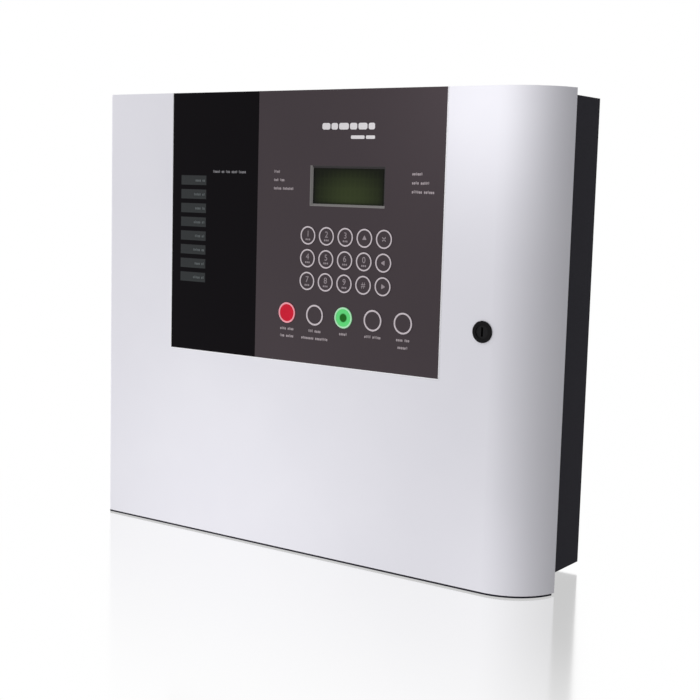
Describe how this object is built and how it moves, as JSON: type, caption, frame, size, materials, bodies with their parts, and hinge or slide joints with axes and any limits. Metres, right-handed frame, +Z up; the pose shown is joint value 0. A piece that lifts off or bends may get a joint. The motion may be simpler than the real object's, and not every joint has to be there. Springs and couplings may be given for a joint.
{
  "type": "fire alarm control panel",
  "caption": "Wall-mounted fire alarm control panel: steel back box, white hinged door with a rolled right edge, dark fascia with display, keypad and function buttons, cam lock.",
  "frame": {"origin": "centre of the back box's rear face, which lies on the wall", "axes": "+Z up, +X to the right as seen from the front, +Y from the front into the wall"},
  "size_m": [0.393, 0.1022, 0.34],
  "materials": {
    "graphite_paint": "fine texture powder coat",
    "white_paint": "smooth powder coat",
    "zinc_steel": "bright zinc plate",
    "bright_steel": "ground steel",
    "black_rubber": "matt",
    "black_plastic": "matt moulded",
    "grey_plastic": "matt moulded",
    "green_plastic": "matt moulded",
    "circuit_board": "solder mask over laminate",
    "component_black": "moulded epoxy",
    "battery_case": "moulded ABS",
    "brass": "turned",
    "lead_sleeve": "PVC sleeve",
    "membrane": "satin polyester film on a panel",
    "dark_window": "gloss film over acrylic",
    "fascia_plastic": "matt moulded",
    "card": "plain",
    "clear_plastic": "clear polished",
    "bezel_plastic": "satin moulded",
    "display": "display glass in a metal frame",
    "key_plastic": "satin moulded",
    "red_key": "satin moulded",
    "green_key": "translucent, lit from behind",
    "lock_black": "black plated"
  },
  "bodies": {
    "box": {"back_box": "graphite_paint", "cable_bushes": "black_rubber", "blanking_plugs": "black_plastic", "box_hinge_leaves": "zinc_steel", "hinge_pins": "bright_steel", "main_board": "circuit_board", "board_pillars": "zinc_steel", "chassis_fasteners": "zinc_steel", "field_terminals": "green_plastic", "board_components": "component_black", "board_connectors": "black_plastic", "supply_cover": "zinc_steel", "supply_board": "circuit_board", "supply_components": "component_black", "mains_terminal_block": "grey_plastic", "earth_stud": "brass", "battery_left": "battery_case", "battery_right": "battery_case", "battery_terminals": "zinc_steel", "battery_bracket": "zinc_steel", "battery_leads": "lead_sleeve"},
    "door": {"door_shell": "white_paint", "bottom_trim": "graphite_paint", "door_hinge_leaves": "zinc_steel", "door_fasteners": "zinc_steel", "fascia_base": "fascia_plastic", "keypad_panel": "membrane", "zone_window": "dark_window", "zone_label_card": "card", "zone_light_pipes": "clear_plastic", "lcd_bezel": "bezel_plastic", "lcd_module": "display", "display_board": "circuit_board", "key_switches": "component_black", "sounder": "black_plastic", "lock_housing": "lock_black", "lock_nut": "zinc_steel"},
    "lock": {"lock_plug": "lock_black", "lock_cam": "zinc_steel", "cam_bolt": "zinc_steel"},
    "key_1": {"key_1": "key_plastic"},
    "key_2": {"key_2": "key_plastic"},
    "key_3": {"key_3": "key_plastic"},
    "key_up": {"key_up": "key_plastic"},
    "key_cancel": {"key_cancel": "key_plastic"},
    "key_4": {"key_4": "key_plastic"},
    "key_5": {"key_5": "key_plastic"},
    "key_6": {"key_6": "key_plastic"},
    "key_0": {"key_0": "key_plastic"},
    "key_left": {"key_left": "key_plastic"},
    "key_7": {"key_7": "key_plastic"},
    "key_8": {"key_8": "key_plastic"},
    "key_9": {"key_9": "key_plastic"},
    "key_hash": {"key_hash": "key_plastic"},
    "key_right": {"key_right": "key_plastic"},
    "alarm_button": {"alarm_button": "red_key"},
    "silence_button": {"silence_button": "key_plastic"},
    "ok_button": {"ok_button": "green_key"},
    "mute_button": {"mute_button": "key_plastic"},
    "reset_button": {"reset_button": "key_plastic"}
  },
  "joints": [
    {"name": "door_hinge", "type": "hinge", "parent": "box", "child": "door", "pos_m": [-0.1872, -0.07, 0], "axis": [0, 0, -1], "range_deg": [0, 120]},
    {"name": "lock_turn", "type": "hinge", "parent": "door", "child": "lock", "pos_m": [0.15433, -0.09, 0.007], "axis": [0, -1, 0], "range_deg": [0, 90]},
    {"name": "key_1_press", "type": "slide", "parent": "door", "child": "key_1", "axis": [0, 1, 0], "range_m": [0, 0.0005], "stiffness_N_per_m": 600},
    {"name": "key_2_press", "type": "slide", "parent": "door", "child": "key_2", "axis": [0, 1, 0], "range_m": [0, 0.0005], "stiffness_N_per_m": 600},
    {"name": "key_3_press", "type": "slide", "parent": "door", "child": "key_3", "axis": [0, 1, 0], "range_m": [0, 0.0005], "stiffness_N_per_m": 600},
    {"name": "key_up_press", "type": "slide", "parent": "door", "child": "key_up", "axis": [0, 1, 0], "range_m": [0, 0.0005], "stiffness_N_per_m": 600},
    {"name": "key_cancel_press", "type": "slide", "parent": "door", "child": "key_cancel", "axis": [0, 1, 0], "range_m": [0, 0.0005], "stiffness_N_per_m": 600},
    {"name": "key_4_press", "type": "slide", "parent": "door", "child": "key_4", "axis": [0, 1, 0], "range_m": [0, 0.0005], "stiffness_N_per_m": 600},
    {"name": "key_5_press", "type": "slide", "parent": "door", "child": "key_5", "axis": [0, 1, 0], "range_m": [0, 0.0005], "stiffness_N_per_m": 600},
    {"name": "key_6_press", "type": "slide", "parent": "door", "child": "key_6", "axis": [0, 1, 0], "range_m": [0, 0.0005], "stiffness_N_per_m": 600},
    {"name": "key_0_press", "type": "slide", "parent": "door", "child": "key_0", "axis": [0, 1, 0], "range_m": [0, 0.0005], "stiffness_N_per_m": 600},
    {"name": "key_left_press", "type": "slide", "parent": "door", "child": "key_left", "axis": [0, 1, 0], "range_m": [0, 0.0005], "stiffness_N_per_m": 600},
    {"name": "key_7_press", "type": "slide", "parent": "door", "child": "key_7", "axis": [0, 1, 0], "range_m": [0, 0.0005], "stiffness_N_per_m": 600},
    {"name": "key_8_press", "type": "slide", "parent": "door", "child": "key_8", "axis": [0, 1, 0], "range_m": [0, 0.0005], "stiffness_N_per_m": 600},
    {"name": "key_9_press", "type": "slide", "parent": "door", "child": "key_9", "axis": [0, 1, 0], "range_m": [0, 0.0005], "stiffness_N_per_m": 600},
    {"name": "key_hash_press", "type": "slide", "parent": "door", "child": "key_hash", "axis": [0, 1, 0], "range_m": [0, 0.0005], "stiffness_N_per_m": 600},
    {"name": "key_right_press", "type": "slide", "parent": "door", "child": "key_right", "axis": [0, 1, 0], "range_m": [0, 0.0005], "stiffness_N_per_m": 600},
    {"name": "alarm_button_press", "type": "slide", "parent": "door", "child": "alarm_button", "axis": [0, 1, 0], "range_m": [0, 0.0005], "stiffness_N_per_m": 600},
    {"name": "silence_button_press", "type": "slide", "parent": "door", "child": "silence_button", "axis": [0, 1, 0], "range_m": [0, 0.0005], "stiffness_N_per_m": 600},
    {"name": "ok_button_press", "type": "slide", "parent": "door", "child": "ok_button", "axis": [0, 1, 0], "range_m": [0, 0.0005], "stiffness_N_per_m": 600},
    {"name": "mute_button_press", "type": "slide", "parent": "door", "child": "mute_button", "axis": [0, 1, 0], "range_m": [0, 0.0005], "stiffness_N_per_m": 600},
    {"name": "reset_button_press", "type": "slide", "parent": "door", "child": "reset_button", "axis": [0, 1, 0], "range_m": [0, 0.0005], "stiffness_N_per_m": 600}
  ]
}
